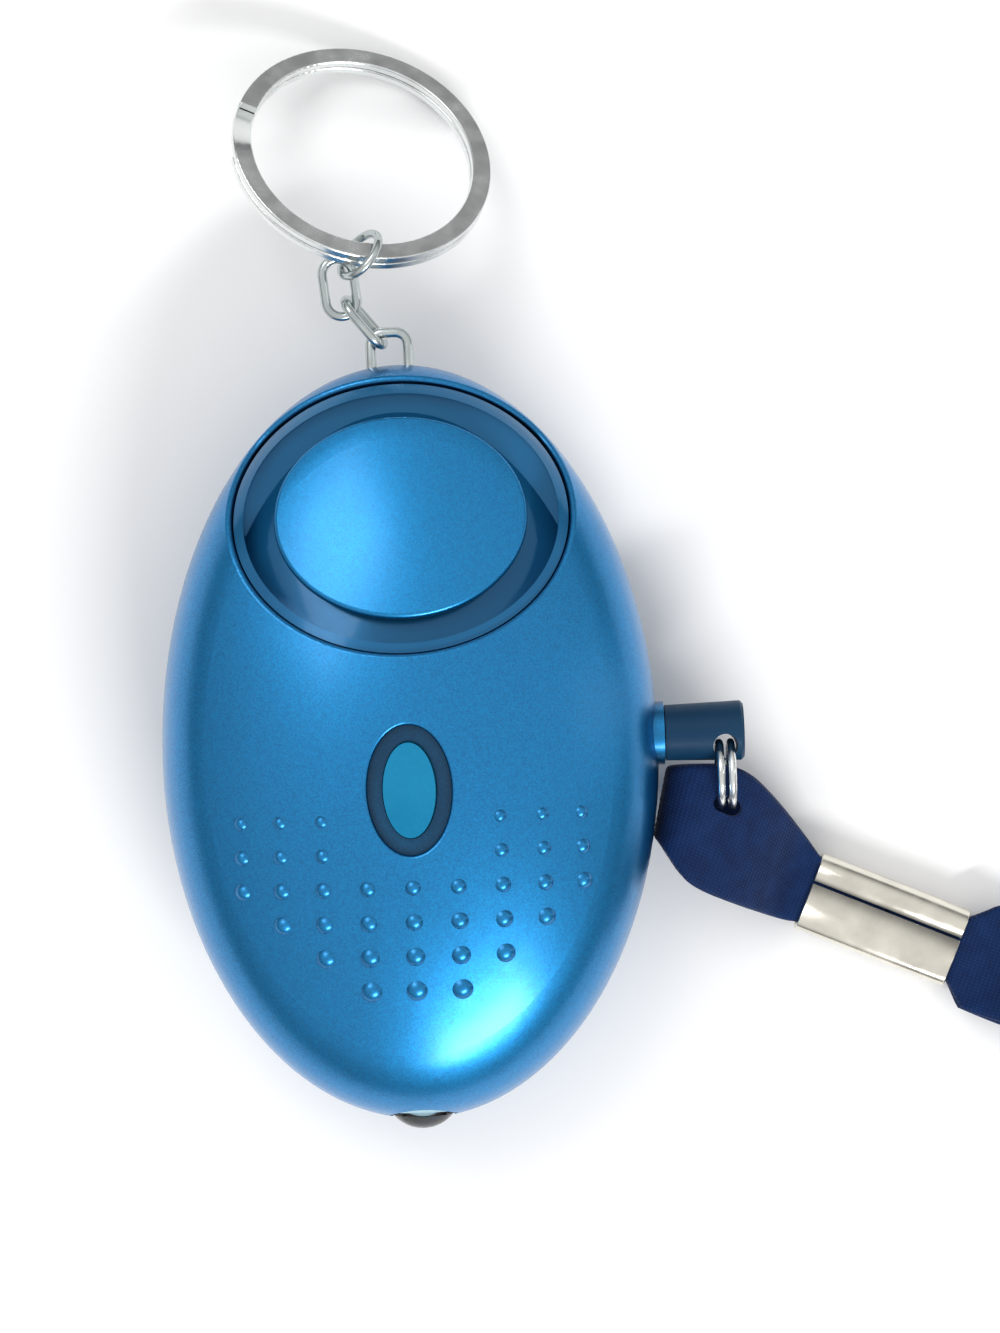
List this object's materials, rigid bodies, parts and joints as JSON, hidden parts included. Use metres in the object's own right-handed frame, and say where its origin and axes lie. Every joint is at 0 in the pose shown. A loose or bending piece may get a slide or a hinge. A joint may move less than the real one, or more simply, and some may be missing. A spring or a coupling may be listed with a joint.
{
  "type": "personal safety alarm",
  "caption": "Egg-shaped pull-pin personal alarm with a piezo sounder, torch button and lamp, key ring chain and crimped wrist strap.",
  "frame": {"origin": "on the flat rest face, under the widest section of the case", "axes": "+Z out of the sounder's face, +Y towards the key ring, +X towards the pull pin"},
  "size_m": [0.1615, 0.1353, 0.0251],
  "materials": {
    "case": "pearl satin blue moulded plastic",
    "button": "satin blue moulded plastic",
    "well": "glossy dark blue moulded plastic",
    "inner_plastic": "moulded plastic",
    "pin": "black moulded plastic with a soft sheen",
    "lens": "clear moulded lens",
    "steel": "bright nickel-plated steel wire",
    "crimp": "bright folded steel sheet",
    "webbing": "navy woven webbing",
    "brass": "rolled brass sheet",
    "ceramic": "white fired ceramic",
    "board": "green lacquered board",
    "chip": "black epoxy",
    "copper": "enamelled copper winding",
    "can": "drawn aluminium can",
    "resistor": "beige coated resistor",
    "wire": "insulated wire",
    "cell": "nickel-plated cell can",
    "contact": "plated spring steel",
    "screw": "zinc-plated steel"
  },
  "bodies": {
    "case": {"front_shell": "case", "rear_shell": "case", "sounder_cover": "case", "sounder_well": "well", "sounder_housing": "inner_plastic", "piezo_disc": "brass", "piezo_ceramic": "ceramic", "piezo_wires": "wire", "torch_switch": "chip", "torch_lamp": "lens", "lamp_wires": "wire", "circuit_board": "board", "board_screws": "screw", "sound_chip": "chip", "drive_transistor": "chip", "boost_coil": "copper", "capacitor": "can", "resistors": "resistor", "pin_socket": "inner_plastic", "leaf_post": "brass", "fixed_contact": "brass", "battery_holder": "inner_plastic", "battery_cells": "cell", "battery_plus_contact": "contact", "battery_minus_contact": "contact", "battery_wires": "wire", "case_screws": "screw", "chain_staple": "steel"},
    "light_button": {"light_button": "button"},
    "switch_plunger": {"switch_plunger": "chip"},
    "pull_pin": {"pull_pin": "pin"},
    "contact_leaf": {"contact_leaf": "brass"},
    "pin_ring": {"pin_ring": "steel"},
    "wrist_strap": {"strap_end_loop": "webbing", "strap_crimp": "crimp", "wrist_loop": "webbing"},
    "chain_link_1": {"chain_link_1": "steel"},
    "chain_link_2": {"chain_link_2": "steel"},
    "jump_ring": {"jump_ring": "steel"},
    "key_ring": {"key_ring": "steel"}
  },
  "joints": [
    {"name": "torch_press", "type": "slide", "parent": "case", "child": "light_button", "axis": [0, 0, -1], "range_m": [0, 0.0004], "stiffness_N_per_m": 400},
    {"name": "plunger_press", "type": "slide", "parent": "case", "child": "switch_plunger", "axis": [0, 0, -1], "range_m": [0, 0.0004]},
    {"name": "pin_pull", "type": "slide", "parent": "case", "child": "pull_pin", "axis": [1, 0, 0], "range_m": [0, 0.016]},
    {"name": "leaf_rise", "type": "hinge", "parent": "case", "child": "contact_leaf", "pos_m": [0.00365, 0.001, 0.01052], "axis": [0, -1, 0], "range_deg": [0, 4.5]},
    {"name": "ring_swing", "type": "hinge", "parent": "pull_pin", "child": "pin_ring", "pos_m": [0.0294, -0.00043, 0.012], "axis": [0, 0, 1], "range_deg": [-2, 20]},
    {"name": "strap_lift", "type": "hinge", "parent": "pin_ring", "child": "wrist_strap", "pos_m": [0.0294, -0.006, 0.0123], "axis": [-0.3987, -0.9171, 0], "range_deg": [0, 25]},
    {"name": "first_link_swing", "type": "hinge", "parent": "case", "child": "chain_link_1", "pos_m": [-0.00234, 0.03836, 0.012], "axis": [0.136, 0.9907, 0], "range_deg": [-8, 20]},
    {"name": "second_link_swing", "type": "hinge", "parent": "chain_link_1", "child": "chain_link_2", "pos_m": [-0.00452, 0.04245, 0.01278], "axis": [-0.118, -0.3029, 0.9457], "range_deg": [-20, 20]},
    {"name": "jump_ring_swing", "type": "hinge", "parent": "chain_link_2", "child": "jump_ring", "pos_m": [-0.00439, 0.04611, 0.01332], "axis": [-0.8464, 0.5293, 0.059], "range_deg": [-15, 15]},
    {"name": "key_ring_swing", "type": "hinge", "parent": "jump_ring", "child": "key_ring", "pos_m": [-0.00125, 0.04731, 0.01533], "axis": [-0.1779, -0.7747, 0.6068], "range_deg": [-18, 1]}
  ],
  "couplings": [
    {"joint": "plunger_press", "follows": "torch_press", "ratio": 1},
    {"joint": "leaf_rise", "follows": "pin_pull", "rad_per_m": 4.9087}
  ]
}
